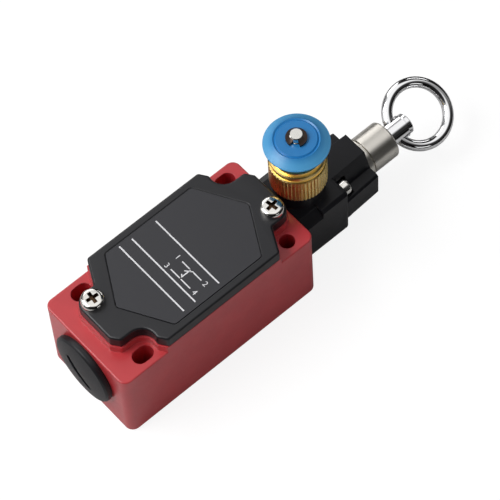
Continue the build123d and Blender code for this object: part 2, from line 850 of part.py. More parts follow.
# Eye stem with the flared cross hole of the ring
eye_axis = (math.cos(math.radians(stem_turn)), 0, -math.sin(math.radians(stem_turn)))
stem_start = rod_end - swivel_depth + stem_end_gap
stem_r = swivel_bore_d / 2 - running_gap
swivel_half = swivel_pin_d / 2 + swivel_play
with BuildPart() as eye_stem:
    with BuildSketch(axis_section):
        with BuildLine():
            Polyline(
                (stem_start, 0),
                (stem_start, stem_r - stem_lead),
                (stem_start + stem_lead, stem_r),
                (swivel_pin_y - swivel_half, stem_r),
                (swivel_pin_y - swivel_half, swivel_groove_d / 2),
                (swivel_pin_y + swivel_half, swivel_groove_d / 2),
                (swivel_pin_y + swivel_half, stem_r),
                (rod_end + stem_shoulder_gap, stem_r),
                (rod_end + stem_shoulder_gap, rod_d / 2),
                (eye_end - eye_head_h - eye_neck_width, rod_d / 2),
                (eye_end - eye_head_h - eye_neck_width / 2, eye_neck_d / 2),
                (eye_end - eye_head_h, eye_head_d / 2),
                (eye_end - 0.5, eye_head_d / 2),
                (eye_end, eye_head_d / 2 - 0.6),
                (eye_end, 0),
                close=True,
            )
        make_face()
    revolve(axis=Axis((0, 0, axis_z), (0, 1, 0)))
    hole_centre = Vector(0, eye_y + eye_hole_shift, axis_z)
    hole_plane = Plane(origin=hole_centre, x_dir=(0, 1, 0), z_dir=eye_axis)
    with BuildSketch(hole_plane):
        Circle(eye_hole_d / 2)
    extrude(amount=rod_d, both=True, mode=Mode.SUBTRACT)
    for side in (-1, 1):
        mouth = hole_plane.offset(side * (rod_d / 2 + 0.4))
        with BuildSketch(mouth):
            Circle(eye_hole_d / 2 + eye_hole_bevel + 0.4)
        with BuildSketch(hole_plane.offset(side * (rod_d / 2 - eye_hole_bevel - 0.4))):
            Circle(eye_hole_d / 2 - 0.2)
        loft(mode=Mode.SUBTRACT)
eye_stem.part.label = "eye_stem"
export_step(eye_stem.part, "parts/eye_stem.step")


# Closed ring through the eye, in the plane of the pull axis
with BuildPart() as eye_ring:
    ring_centre = Vector(0, eye_y + ring_r, axis_z)
    ring_plane = Plane(origin=ring_centre, x_dir=eye_axis, z_dir=(0, 1, 0))
    with BuildSketch(ring_plane):
        with Locations((ring_r, 0)):
            Circle(ring_wire_d / 2)
    revolve(axis=Axis(ring_centre, Vector(*eye_axis).cross(Vector(0, 1, 0))))
eye_ring.part.label = "eye_ring"
export_step(eye_ring.part, "parts/eye_ring.step")


# Return spring between the rod's collar and the sleeve
rod_spring_start = rod_collar_y + rod_collar_h + rod_spring_wire / 2
rod_spring_end = sleeve_back_y - rod_spring_wire / 2
rod_spring_path = Helix(
    (rod_spring_end - rod_spring_start) / rod_spring_turns,
    rod_spring_end - rod_spring_start,
    rod_spring_d / 2,
    center=(0, rod_spring_start, axis_z),
    direction=(0, 1, 0),
)
with BuildPart() as rod_spring:
    with BuildSketch(Plane(origin=rod_spring_path @ 0, z_dir=rod_spring_path % 0)):
        Circle(rod_spring_wire / 2)
    sweep(path=rod_spring_path, is_frenet=True)
rod_spring.part.label = "rod_spring"
export_step(rod_spring.part, "parts/rod_spring.step")


# Knurled brass bush of the reset knob
with BuildPart() as knurled_bush:
    with BuildSketch(Plane.XZ.offset(-knob_y)):
        with BuildLine():
            Polyline(
                (bush_chamber_d / 2, bush_tail_z),
                (bush_thread_d / 2, bush_tail_z),
                (bush_thread_d / 2, bush_bottom),
                (bush_d / 2 - knurl_depth, bush_bottom),
                (bush_d / 2, bush_bottom + knurl_depth),
                (bush_d / 2, knurl_top - knurl_depth),
                (bush_d / 2 - knurl_depth, knurl_top),
                (bush_shoulder_d / 2, knurl_top),
                (bush_shoulder_d / 2, knurl_top + bush_shoulder_h - 0.4),
                (bush_shoulder_d / 2 - 0.4, knurl_top + bush_shoulder_h),
                (bush_neck_d / 2, knurl_top + bush_shoulder_h),
                (bush_neck_d / 2, bush_top),
                (pin_d / 2 + running_gap, bush_top),
                (pin_d / 2 + running_gap, bush_top - bush_roof),
                (bush_chamber_d / 2, bush_top - bush_roof),
                close=True,
            )
        make_face()
    revolve(axis=Axis((0, knob_y, 0), (0, 0, 1)))
    with BuildSketch(Plane.XY.offset(bush_bottom)):
        with Locations((0, knob_y)):
            with PolarLocations(bush_d / 2 + knurl_depth * 0.3, knurl_count):
                Rectangle(knurl_depth * 1.4, knurl_depth * 1.4, rotation=45)
    extrude(amount=knurl_h, mode=Mode.SUBTRACT)
knurled_bush.part.label = "knurled_bush"
export_step(knurled_bush.part, "parts/knurled_bush.step")


with BuildPart() as bush_seal:
    with BuildSketch(Plane.XY.offset(boss_top)):
        with Locations((0, knob_y)):
            Circle(boss_d / 2)
            Circle(bush_thread_d / 2 + running_gap, mode=Mode.SUBTRACT)
    extrude(amount=bush_seal_h)
bush_seal.part.label = "bush_seal"
export_step(bush_seal.part, "parts/bush_seal.step")


# Latch pin with its spring collar, and the groove of the retaining clip at its top
clip_z = knob_top_z + clip_gap
collar_z = pin_tip + pin_collar_rise
with BuildPart() as latch_pin:
    with BuildSketch(Plane.XZ.offset(-knob_y)):
        with BuildLine():
            Polyline(
                (0, pin_tip),
                (pin_d / 2 - 0.8, pin_tip),
                (pin_d / 2, pin_tip + 0.8),
                (pin_d / 2, collar_z),
                (pin_collar_d / 2, collar_z),
                (pin_collar_d / 2, collar_z + pin_collar_h),
                (pin_d / 2, collar_z + pin_collar_h),
                (pin_d / 2, clip_z),
                (clip_groove_d / 2, clip_z),
                (clip_groove_d / 2, clip_z + clip_h),
                (pin_d / 2, clip_z + clip_h),
                (pin_d / 2, pin_top - 0.3),
                (pin_d / 2 - 0.3, pin_top),
                (0, pin_top),
                close=True,
            )
        make_face()
    revolve(axis=Axis((0, knob_y, 0), (0, 0, 1)))
latch_pin.part.label = "latch_pin"
export_step(latch_pin.part, "parts/latch_pin.step")


latch_spring_start = collar_z + pin_collar_h + latch_spring_wire / 2
latch_spring_end = bush_top - bush_roof - latch_spring_wire / 2
latch_spring_path = Helix(
    (latch_spring_end - latch_spring_start) / latch_spring_turns,
    latch_spring_end - latch_spring_start,
    latch_spring_d / 2,
    center=(0, knob_y, latch_spring_start),
)
with BuildPart() as latch_spring:
    with BuildSketch(Plane(origin=latch_spring_path @ 0, z_dir=latch_spring_path % 0)):
        Circle(latch_spring_wire / 2)
    sweep(path=latch_spring_path, is_frenet=True)
latch_spring.part.label = "latch_spring"
export_step(latch_spring.part, "parts/latch_spring.step")


# Blue mushroom knob: bevelled top with a turned ring, dished underside and a hub
knob_foot = bush_top + knob_lift
with BuildPart() as reset_knob:
    with BuildSketch(Plane.XZ.offset(-knob_y)):
        with BuildLine():
            l1 = Polyline(
                (pin_d / 2, knob_foot),
                (knob_hub_d / 2, knob_foot),
                (knob_hub_d / 2, knob_foot + knob_hub_h),
            )
            l2 = TangentArc(l1 @ 1, (knob_d / 2 - 0.5, knob_rim_z - 0.6), tangent=(1, 0.15))
            l3 = ThreePointArc(
                l2 @ 1,
                (knob_d / 2, knob_rim_z - 0.1),
                (knob_d / 2 - 0.4, knob_rim_z + 0.35),
            )
            Polyline(
                l3 @ 1,
                (knob_face_d / 2 + 0.5, knob_top_z - 0.1),
                (knob_face_d / 2, knob_top_z - knob_groove - 0.1),
                (knob_face_d / 2 - 0.5, knob_top_z),
                (pin_d / 2, knob_top_z),
                (pin_d / 2, knob_foot),
            )
        make_face()
    revolve(axis=Axis((0, knob_y, 0), (0, 0, 1)))
reset_knob.part.label = "reset_knob"
export_step(reset_knob.part, "parts/reset_knob.step")


# Retaining clip in the pin's groove, with three lugs and an open side
clip_side = [math.radians(clip_turn + sign * clip_opening / 2) for sign in (-1, 1)]
with BuildPart() as e_clip:
    with BuildSketch(Plane.XY.offset(clip_z)):
        with Locations((0, knob_y)):
            Circle(clip_d / 2)
            Circle(clip_d / 2 - clip_width, mode=Mode.SUBTRACT)
            with PolarLocations((clip_d + clip_groove_d) / 4 - 0.2, 3, start_angle=clip_turn + 60):
                Rectangle((clip_d - clip_groove_d) / 2 - 0.4, clip_lug)
            Circle(clip_groove_d / 2 + running_gap, mode=Mode.SUBTRACT)
        with BuildLine():
            Polyline(
                (0, knob_y),
                (clip_d * math.cos(clip_side[0]), knob_y + clip_d * math.sin(clip_side[0])),
                (clip_d * math.cos(clip_side[1]), knob_y + clip_d * math.sin(clip_side[1])),
                close=True,
            )
        make_face(mode=Mode.SUBTRACT)
    extrude(amount=clip_h)
e_clip.part.label = "e_clip"
export_step(e_clip.part, "parts/e_clip.step")


# Plunger between the pull rod and the contact carrier, and its lip seal
plunger_end = rod_start - touch_gap
with BuildPart() as transfer_plunger:
    with BuildSketch(axis_section):
        with BuildLine():
            Polyline(
                (carrier_front, 0),
                (carrier_front, plunger_foot_d / 2),
                (carrier_front + plunger_foot_h, plunger_foot_d / 2),
                (carrier_front + plunger_foot_h, plunger_d / 2),
                (plunger_end - 0.8, plunger_d / 2),
                (plunger_end, plunger_d / 2 - 0.8),
                (plunger_end, 0),
                close=True,
            )
        make_face()
    revolve(axis=Axis((0, 0, axis_z), (0, 1, 0)))
transfer_plunger.part.label = "transfer_plunger"
export_step(transfer_plunger.part, "parts/transfer_plunger.step")


with BuildPart() as lip_seal:
    with BuildSketch(axis_section):
        with BuildLine():
            Polyline(
                (head_end - lip_seal_h, plunger_d / 2 + running_gap),
                (head_end - lip_seal_h, lip_seal_d / 2),
                (head_end, lip_seal_d / 2),
                (head_end, lip_seal_d / 2 - 0.9),
                (head_end - lip_seal_h / 2, lip_seal_d / 2 - 0.9),
                (head_end - lip_seal_h / 2, plunger_d / 2 + 0.6),
                (head_end, plunger_d / 2 + running_gap + 0.1),
                (head_end, plunger_d / 2 + running_gap),
                close=True,
            )
        make_face()
    revolve(axis=Axis((0, 0, axis_z), (0, 1, 0)))
lip_seal.part.label = "lip_seal"
export_step(lip_seal.part, "parts/lip_seal.step")


# Places of the terminals: each upright leg faces the tip of its bridge
terminal_x = channel_width / 2 + terminal_width / 2 + terminal_inset
terminal_sets = {
    "terminals_nc": (nc_leg_y, -1),
    "terminals_no": (no_leg_y, 1),
}
clamp_spots = [
    (sign * terminal_x, leg_y + side * (terminal_foot + terminal_thickness) / 2)
    for leg_y, side in terminal_sets.values()
    for sign in (-1, 1)
]
clamp_z = block_wall_z + terminal_thickness


# Moulded base of the contact block: terminal walls beside the carrier's channel, a guard
# wall outside the moving contacts, and a lug for each of its two screws
with BuildPart() as contact_base:
    with BuildSketch(Plane.XY.offset(housing_floor)):
        with Locations((0, block_mid_y)):
            Rectangle(block_width, block_length)
    extrude(amount=block_wall_z - housing_floor)
    with BuildSketch(Plane.XY.offset(channel_floor_z)):
        with Locations((0, block_mid_y + channel_end / 2)):
            Rectangle(channel_width, block_length - channel_end)
    extrude(amount=block_wall_z - channel_floor_z, mode=Mode.SUBTRACT)
    guard_x = (block_width - guard_wall) / 2
    guard_mid_y = (no_leg_y + nc_leg_y) / 2
    guard_length = no_leg_y - nc_leg_y - 2 * guard_gap
    with BuildSketch(Plane.XY.offset(block_wall_z)):
        with Locations((guard_x, guard_mid_y), (-guard_x, guard_mid_y)):
            Rectangle(guard_wall, guard_length)
    extrude(amount=guard_rise)
    with BuildSketch(Plane.XY.offset(housing_floor)):
        with Locations(*lug_spots):
            RectangleRounded(lug_width, block_screw_head_d + 2 * lug_margin, lug_margin)
    extrude(amount=lug_h)
    with BuildSketch(Plane.XY.offset(housing_floor + lug_h)):
        with Locations(*block_screw_spots):
            Circle(block_screw_head_d / 2 + screw_clearance)
    extrude(amount=block_wall_z, mode=Mode.SUBTRACT)
    with BuildSketch(Plane.XY.offset(housing_floor)):
        with Locations(*block_screw_spots):
            Circle(block_screw_d / 2 + screw_clearance / 2)
    extrude(amount=lug_h, mode=Mode.SUBTRACT)
    # Tapped holes of the terminal screws
    with BuildSketch(Plane.XY.offset(block_wall_z)):
        with Locations(*clamp_spots):
            Circle(terminal_screw_d / 2)
    extrude(amount=-terminal_screw_length, mode=Mode.SUBTRACT)
contact_base.part.label = "contact_base"
export_step(contact_base.part, "parts/contact_base.step")


# Sliding carrier of the moving contacts, with a window for each contact bridge
bridge_side = {bridge_nc_y: 1, bridge_no_y: -1}
window_spots = [
    (bridge_y + side * (bridge_thickness + window_spring_room) / 2, bridge_z)
    for bridge_y, side in bridge_side.items()
]
window_length = bridge_thickness + window_spring_room + window_play
with BuildPart() as contact_carrier:
    with BuildSketch(Plane.YZ.offset(-carrier_width / 2)):
        with BuildLine():
            Polyline(
                (-carrier_back, carrier_bottom_z),
                (carrier_front, carrier_bottom_z),
                (carrier_front, carrier_shoulder_z),
                (carrier_front - carrier_step, carrier_shoulder_z),
                (carrier_front - carrier_step, carrier_top_z),
                (-carrier_back + carrier_step / 2, carrier_top_z),
                (-carrier_back + carrier_step / 2, carrier_shoulder_z),
                (-carrier_back, carrier_shoulder_z),
                close=True,
            )
        make_face()
    extrude(amount=carrier_width)
    chamfer(contact_carrier.faces().sort_by(Axis.Z)[-1].edges(), carrier_bevel)
    with BuildSketch(Plane.YZ.offset(-carrier_width / 2)):
        with Locations(*window_spots):
            Rectangle(window_length, bridge_height + window_play)
    extrude(amount=carrier_width, mode=Mode.SUBTRACT)
    with BuildSketch(Plane.XZ.offset(carrier_back)):
        with Locations((0, carrier_spring_z)):
            Circle(carrier_spring_room / 2)
    extrude(amount=-carrier_spring_depth, mode=Mode.SUBTRACT)
contact_carrier.part.label = "contact_carrier"
export_step(contact_carrier.part, "parts/contact_carrier.step")


# Bridges across the carrier, each with a contact tip at both ends
with BuildPart() as contact_bridges:
    for bridge_y, side in bridge_side.items():
        with BuildSketch(Plane.XZ.offset(-bridge_y)):
            with Locations((0, bridge_z)):
                RectangleRounded(bridge_length, bridge_height, bridge_corner)
        extrude(amount=-bridge_thickness * side)
contact_bridges.part.label = "contact_bridges"
export_step(contact_bridges.part, "parts/contact_bridges.step")


with BuildPart() as bridge_tips:
    for bridge_y, side in bridge_side.items():
        with BuildSketch(Plane.XZ.offset(-bridge_y)):
            with Locations((tip_x, bridge_z), (-tip_x, bridge_z)):
                Circle(tip_d / 2)
        extrude(amount=tip_h * side)
bridge_tips.part.label = "bridge_tips"
export_step(bridge_tips.part, "parts/bridge_tips.step")


# Springs that press the bridges against their stops in the carrier
with BuildPart() as contact_springs:
    for bridge_y, side in bridge_side.items():
        spring_foot = bridge_y + side * (bridge_thickness + contact_spring_wire / 2)
        spring_run = window_spring_room - contact_spring_wire
        spring_path = Helix(
            spring_run / contact_spring_turns,
            spring_run,
            contact_spring_d / 2 - contact_spring_wire / 2,
            center=(0, spring_foot, bridge_z),
            direction=(0, side, 0),
        )
        with BuildSketch(Plane(origin=spring_path @ 0, z_dir=spring_path % 0)):
            Circle(contact_spring_wire / 2)
        sweep(path=spring_path, is_frenet=True)
contact_springs.part.label = "contact_springs"
export_step(contact_springs.part, "parts/contact_springs.step")


# Spring that lets the carrier follow the plunger
follow_start = block_back + channel_end + carrier_spring_wire / 2
follow_end = -carrier_back + carrier_spring_depth - carrier_spring_wire / 2
follow_path = Helix(
    (follow_end - follow_start) / carrier_spring_turns,
    follow_end - follow_start,
    carrier_spring_d / 2,
    center=(0, follow_start, carrier_spring_z),
    direction=(0, 1, 0),
)
with BuildPart() as carrier_spring:
    with BuildSketch(Plane(origin=follow_path @ 0, z_dir=follow_path % 0)):
        Circle(carrier_spring_wire / 2)
    sweep(path=follow_path, is_frenet=True)
carrier_spring.part.label = "carrier_spring"
export_step(carrier_spring.part, "parts/carrier_spring.step")


# Fixed terminals: an angle on the terminal wall, upright leg facing its bridge tip
for terminal_name, (leg_y, side) in terminal_sets.items():
    with BuildPart() as terminals:
        with BuildSketch(Plane.YZ.offset(terminal_x - terminal_width / 2)):
            with BuildLine():
                Polyline(
                    (leg_y, block_wall_z),
                    (leg_y + side * terminal_foot, block_wall_z),
                    (leg_y + side * terminal_foot, block_wall_z + terminal_thickness),
                    (leg_y + side * terminal_thickness, block_wall_z + terminal_thickness),
                    (leg_y + side * terminal_thickness, block_wall_z + terminal_rise),
                    (leg_y, block_wall_z + terminal_rise),
                    close=True,
                )
            make_face()
        extrude(amount=terminal_width)
        with BuildSketch(Plane.XY.offset(block_wall_z)):
            with Locations((terminal_x, leg_y + side * (terminal_foot + terminal_thickness) / 2)):
                Circle(terminal_screw_d / 2 + screw_clearance / 2)
        extrude(amount=terminal_thickness, mode=Mode.SUBTRACT)
        mirror(about=Plane.YZ)
    terminals.part.label = terminal_name
    export_step(terminals.part, "parts/" + terminal_name + ".step")


with BuildPart() as fixed_tips:
    for leg_y, side in terminal_sets.values():
        with BuildSketch(Plane.XZ.offset(-leg_y)):
            with Locations((tip_x, bridge_z), (-tip_x, bridge_z)):
                Circle(tip_d / 2)
        extrude(amount=tip_h * side)
fixed_tips.part.label = "fixed_tips"
export_step(fixed_tips.part, "parts/fixed_tips.step")


# Square wire clamps and screws of the four terminals
with BuildPart() as terminal_clamps:
    with BuildSketch(Plane.XY.offset(clamp_z)):
        with Locations(*clamp_spots):
            RectangleRounded(terminal_clamp, terminal_clamp, terminal_clamp_corner)
            Circle(terminal_screw_d / 2 + screw_clearance / 2, mode=Mode.SUBTRACT)
    extrude(amount=terminal_clamp_h)
terminal_clamps.part.label = "terminal_clamps"
export_step(terminal_clamps.part, "parts/terminal_clamps.step")


with BuildPart() as terminal_screws:
    with BuildSketch(Plane.XY.offset(clamp_z + terminal_clamp_h)):
        with Locations(*clamp_spots):
            Circle(terminal_screw_head_d / 2)
    extrude(amount=terminal_screw_head_h)
    fillet(terminal_screws.faces().group_by(Axis.Z)[-1].edges(), terminal_screw_head_h * 0.4)
    with BuildSketch(Plane.XY.offset(clamp_z + terminal_clamp_h)):
        with Locations(*clamp_spots):
            Circle(terminal_screw_d / 2 - running_gap)
    extrude(amount=-terminal_screw_length)
    with BuildSketch(Plane.XY.offset(clamp_z + terminal_clamp_h + terminal_screw_head_h)):
        with Locations(*clamp_spots):
            Rectangle(terminal_screw_head_d, recess_width * 0.8)
    extrude(amount=-recess_depth * 0.6, mode=Mode.SUBTRACT)
terminal_screws.part.label = "terminal_screws"
export_step(terminal_screws.part, "parts/terminal_screws.step")


# Screws that hold the contact block to the housing floor
with BuildPart() as block_screws:
    with BuildSketch(Plane.XY.offset(housing_floor + lug_h)):
        with Locations(*block_screw_spots):
            Circle(block_screw_head_d / 2)
    extrude(amount=block_screw_head_h)
    fillet(block_screws.faces().group_by(Axis.Z)[-1].edges(), block_screw_head_h * 0.4)
    with BuildSketch(Plane.XY.offset(housing_floor + lug_h)):
        with Locations(*block_screw_spots):
            Circle(block_screw_d / 2 - running_gap)
    extrude(amount=-block_screw_length)
block_screws.part.label = "block_screws"
export_step(block_screws.part, "parts/block_screws.step")


# Earth terminal on its boss beside the conduit entry
with BuildPart() as earth_clamp:
    with BuildSketch(Plane.XY.offset(earth_z)):
        with Locations((earth_x, earth_y)):
            Circle(earth_clamp_d / 2)
            Circle(earth_screw_d / 2 + screw_clearance / 2, mode=Mode.SUBTRACT)
    extrude(amount=earth_clamp_h)
earth_clamp.part.label = "earth_clamp"
export_step(earth_clamp.part, "parts/earth_clamp.step")


with BuildPart() as earth_screw:
    with BuildSketch(Plane.XY.offset(earth_z + earth_clamp_h)):
        with Locations((earth_x, earth_y)):
            Circle(earth_screw_head_d / 2)
    extrude(amount=earth_screw_head_h)
    fillet(earth_screw.faces().sort_by(Axis.Z)[-1].edges(), earth_screw_head_h * 0.4)
    with BuildSketch(Plane.XY.offset(earth_z + earth_clamp_h)):
        with Locations((earth_x, earth_y)):
            Circle(earth_screw_d / 2 - running_gap)
    extrude(amount=-earth_screw_length)
    with BuildSketch(Plane.XY.offset(earth_z + earth_clamp_h + earth_screw_head_h)):
        with Locations((earth_x, earth_y)):
            Rectangle(earth_screw_head_d, recess_width)
    extrude(amount=-recess_depth * 0.6, mode=Mode.SUBTRACT)
earth_screw.part.label = "earth_screw"
export_step(earth_screw.part, "parts/earth_screw.step")
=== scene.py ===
# %% [markdown]
# A rope pull switch lies on its back on a pale table: a red cast body with a black
# cover, a black head bolted to its end, a brass bush with a blue reset knob, and a
# polished ring on a turned sleeve. This file gives the parts their rounded edges,
# their finishes, their print and their light.

# %% Load the solid model
import json
import math

import bmesh
import bpy
from mathutils import Matrix, Vector


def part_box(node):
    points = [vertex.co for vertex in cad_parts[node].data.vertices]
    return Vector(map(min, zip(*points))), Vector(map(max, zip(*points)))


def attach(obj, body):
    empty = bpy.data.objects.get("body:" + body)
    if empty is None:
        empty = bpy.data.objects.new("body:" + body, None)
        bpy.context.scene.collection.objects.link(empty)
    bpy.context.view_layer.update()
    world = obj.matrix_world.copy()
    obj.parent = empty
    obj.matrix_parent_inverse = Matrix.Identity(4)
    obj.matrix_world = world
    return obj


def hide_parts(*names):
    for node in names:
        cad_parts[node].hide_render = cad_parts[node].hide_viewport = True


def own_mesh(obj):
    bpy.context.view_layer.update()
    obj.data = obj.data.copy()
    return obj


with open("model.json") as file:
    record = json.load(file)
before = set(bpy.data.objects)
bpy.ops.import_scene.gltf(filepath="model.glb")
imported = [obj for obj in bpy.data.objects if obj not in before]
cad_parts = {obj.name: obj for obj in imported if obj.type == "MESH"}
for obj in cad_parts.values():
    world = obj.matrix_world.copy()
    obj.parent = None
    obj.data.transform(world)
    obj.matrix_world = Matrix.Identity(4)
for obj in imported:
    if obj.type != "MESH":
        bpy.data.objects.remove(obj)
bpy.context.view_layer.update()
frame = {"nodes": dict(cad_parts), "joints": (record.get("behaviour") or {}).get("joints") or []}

MM = 0.001
print("parts loaded:", len(frame["nodes"]))

# %% [markdown]
# The camera comes first, because every later choice is judged through it. A long lens
# from far away keeps the body's edges nearly parallel, as they are in a catalogue
# picture. Its place and two of its axes fix the view completely.

# %% Camera
CAMERA_PLACE = Vector((0.3708, -0.2546, 0.8236))
CAMERA_AHEAD = Vector((-0.3964, 0.3004, -0.8675))
CAMERA_RIGHT = Vector((0.6586, 0.7514, -0.0408))
CAMERA_LENS = 207.1
CAMERA_SIGHT = 20.0


def place_camera():
    ahead = CAMERA_AHEAD.normalized()
    right = (CAMERA_RIGHT - ahead * CAMERA_RIGHT.dot(ahead)).normalized()
    up = right.cross(ahead)
    turn = Matrix((right, up, -ahead)).transposed()
    data = bpy.data.cameras.new("camera")
    data.lens = CAMERA_LENS
    data.clip_end = CAMERA_SIGHT
    camera = bpy.data.objects.new("camera", data)
    camera.matrix_world = Matrix.Translation(CAMERA_PLACE) @ turn.to_4x4()
    bpy.context.scene.collection.objects.link(camera)
    bpy.context.scene.camera = camera


place_camera()
print("camera is", round(CAMERA_PLACE.length, 2), "m from the switch")

# %% [markdown]
# Shaders are built from nodes, and a few short helpers keep that readable: start an
# empty tree, add a node, wire two sockets, and turn a number into a colour by stops.

# %% Colour management and node helpers
scene = bpy.context.scene
scene.view_settings.view_transform = "Standard"
WHITE = (1.0, 1.0, 1.0)
MIX_FACTOR, MIX_FIRST, MIX_SECOND, MIX_COLOUR = 0, 6, 7, 2


def new_tree(owner):
    owner.use_nodes = True
    tree = owner.node_tree
    tree.nodes.clear()
    return tree


def add(tree, kind, **values):
    node = tree.nodes.new(kind)
    for name, value in values.items():
        setattr(node, name, value)
    return node


def wire(tree, source, target):
    tree.links.new(source, target)


def ramp(tree, factor, stops):
    node = add(tree, "ShaderNodeValToRGB")
    while len(node.color_ramp.elements) < len(stops):
        node.color_ramp.elements.new(0.5)
    for element, (place, colour) in zip(node.color_ramp.elements, stops):
        element.position = place
        element.color = (*colour, 1.0)
    wire(tree, factor, node.inputs["Fac"])
    return node.outputs["Color"]


def picked(tree, share, first, second):
    """The first shader where share is 0 and the second where it is 1."""
    mix = add(tree, "ShaderNodeMixShader")
    wire(tree, share, mix.inputs["Fac"])
    wire(tree, first, mix.inputs[1])
    wire(tree, second, mix.inputs[2])
    return mix.outputs["Shader"]


def darkened(tree, colour, shade):
    mix = add(tree, "ShaderNodeMix", data_type="RGBA", blend_type="MULTIPLY")
    mix.inputs[MIX_FACTOR].default_value = 1.0
    wire(tree, colour, mix.inputs[MIX_FIRST])
    wire(tree, shade, mix.inputs[MIX_SECOND])
    return mix.outputs[MIX_COLOUR]


def grey(value):
    return (value, value, value)


print("colours are shown by the", scene.view_settings.view_transform, "transform")

# %% [markdown]
# Polished metal shows nothing but its surroundings, so the room that mirrors see is
# painted with care. By height it has dark and pale bands and a bright ceiling. Three
# sides of it are darkened: the near one, the right one and the far one. Diffuse
# surfaces see only a plain faint fill, and the camera sees white.

# %% The painted room
WORLD_FILL = 0.30
BAND_STOPS = [
    (0.00, grey(0.30)),
    (0.46, grey(0.20)),
    (0.49, grey(0.02)),
    (0.59, grey(0.02)),
    (0.60, grey(0.60)),
    (0.635, grey(0.60)),
    (0.645, grey(0.02)),
    (0.685, grey(0.02)),
    (0.695, grey(0.36)),
    (0.86, grey(0.42)),
    (0.92, grey(1.00)),
    (1.00, grey(1.10)),
]
NEAR_SIDE = (0.65, -0.56, 0.51)
NEAR_SIDE_STOPS = [(0.80, grey(1.0)), (0.86, grey(0.06)), (1.00, grey(0.04))]
RIGHT_SIDE = (0.93, 0.30, 0.20)
RIGHT_SIDE_STOPS = [(0.60, grey(1.0)), (0.80, grey(0.10)), (1.00, grey(0.06))]
FAR_SIDE = (-0.35, 0.86, 0.37)
FAR_SIDE_STOPS = [(0.76, grey(1.0)), (0.82, grey(0.06)), (1.00, grey(0.04))]
ROOM_SHADES = [
    (NEAR_SIDE, NEAR_SIDE_STOPS),
    (RIGHT_SIDE, RIGHT_SIDE_STOPS),
    (FAR_SIDE, FAR_SIDE_STOPS),
]


def painted_room(tree):
    direction = add(tree, "ShaderNodeTexCoord")
    split = add(tree, "ShaderNodeSeparateXYZ")
    wire(tree, direction.outputs["Generated"], split.inputs["Vector"])
    height = add(tree, "ShaderNodeMapRange")
    height.inputs["From Min"].default_value = -1.0
    height.inputs["From Max"].default_value = 1.0
    wire(tree, split.outputs["Z"], height.inputs["Value"])
    room = ramp(tree, height.outputs["Result"], BAND_STOPS)
    for side, stops in ROOM_SHADES:
        nearness = add(tree, "ShaderNodeVectorMath", operation="DOT_PRODUCT")
        nearness.inputs[1].default_value = side
        wire(tree, direction.outputs["Generated"], nearness.inputs[0])
        room = darkened(tree, room, ramp(tree, nearness.outputs["Value"], stops))
    return room


def background(tree, strength=1.0):
    node = add(tree, "ShaderNodeBackground")
    node.inputs["Color"].default_value = (*WHITE, 1.0)
    node.inputs["Strength"].default_value = strength
    return node


def build_world():
    world = bpy.data.worlds.new("studio")
    scene.world = world
    tree = new_tree(world)
    room = painted_room(tree)
    rays = add(tree, "ShaderNodeLightPath")
    fill = background(tree, WORLD_FILL)
    mirror = background(tree)
    wire(tree, room, mirror.inputs["Color"])
    paper = background(tree)
    unseen = picked(
        tree, rays.outputs["Is Glossy Ray"],
        fill.outputs["Background"], mirror.outputs["Background"],
    )
    seen = picked(tree, rays.outputs["Is Camera Ray"], unseen, paper.outputs["Background"])
    out = add(tree, "ShaderNodeOutputWorld")
    wire(tree, seen, out.inputs["Surface"])


build_world()
print("world:", len(ROOM_SHADES), "dark sides and", len(BAND_STOPS), "stops by height")

# %% [markdown]
# The key lamp is broad and hangs above the plug's end. A low lamp behind the ring draws
# the bright edges, and a weak one stands at the right side. Two cards are seen only in
# mirrors. All of them are large for their distance, so that shadows are soft, and each
# is aimed at the middle of the switch. Places and sizes are in metres, power in watts.

# %% Lamps
SWITCH_MIDDLE = Vector((0.0, 0.02, 0.02))


def soft_lamp(name, place, size, power, only_mirrored=False):
    data = bpy.data.lights.new(name, "AREA")
    data.shape = "RECTANGLE"
    data.size, data.size_y = size
    data.energy = power
    lamp = bpy.data.objects.new(name, data)
    aim = (SWITCH_MIDDLE - Vector(place)).normalized()
    turn = aim.to_track_quat("-Z", "Y").to_matrix().to_4x4()
    lamp.matrix_world = Matrix.Translation(place) @ turn
    scene.collection.objects.link(lamp)
    lamp.visible_diffuse = not only_mirrored


soft_lamp("lamp_key", (-0.28, -0.42, 0.66), (0.60, 0.42), 5.2)
soft_lamp("lamp_edge", (-0.36, 0.80, 0.42), (0.50, 0.12), 0.50)
soft_lamp("lamp_side", (0.70, 0.05, 0.22), (0.30, 0.12), 0.15)
soft_lamp("card_left", (-0.54, 0.18, 0.34), (0.36, 0.50), 0.9, only_mirrored=True)
soft_lamp("card_near", (-0.42, -0.48, 0.14), (0.50, 0.24), 0.45, only_mirrored=True)
print("lamps and cards:", len(bpy.data.lights))

# %% [markdown]
# The table is a plain sheet under the body. The camera sees it as white paper: a steady
# glow, and a diffuse part that keeps the shadow. Mirrors see paper with a painted pool of
# light, its colour bright close to the switch and dark further out, and everything else
# sees an ordinary pale sheet.

# %% Table
TABLE_REACH = 3.0
PAPER_BOUNCE = 0.60
PAPER_SHADOW = 0.22
PAPER_GLOW = 0.86
PAPER_MIRROR_PAINTED_LIGHT_STOPS = [(0.13, grey(0.60)), (0.17, grey(0.10)), (0.24, grey(0.02))]


def plain_paper(tree, shade):
    paper = add(tree, "ShaderNodeBsdfDiffuse")
    paper.inputs["Color"].default_value = (*grey(shade), 1.0)
    return paper.outputs["BSDF"]


def paper_in_view(tree):
    shadow_catch = plain_paper(tree, PAPER_SHADOW)
    glow = add(tree, "ShaderNodeEmission")
    glow.inputs["Strength"].default_value = PAPER_GLOW
    both = add(tree, "ShaderNodeAddShader")
    wire(tree, shadow_catch, both.inputs[0])
    wire(tree, glow.outputs["Emission"], both.inputs[1])
    return both.outputs["Shader"]


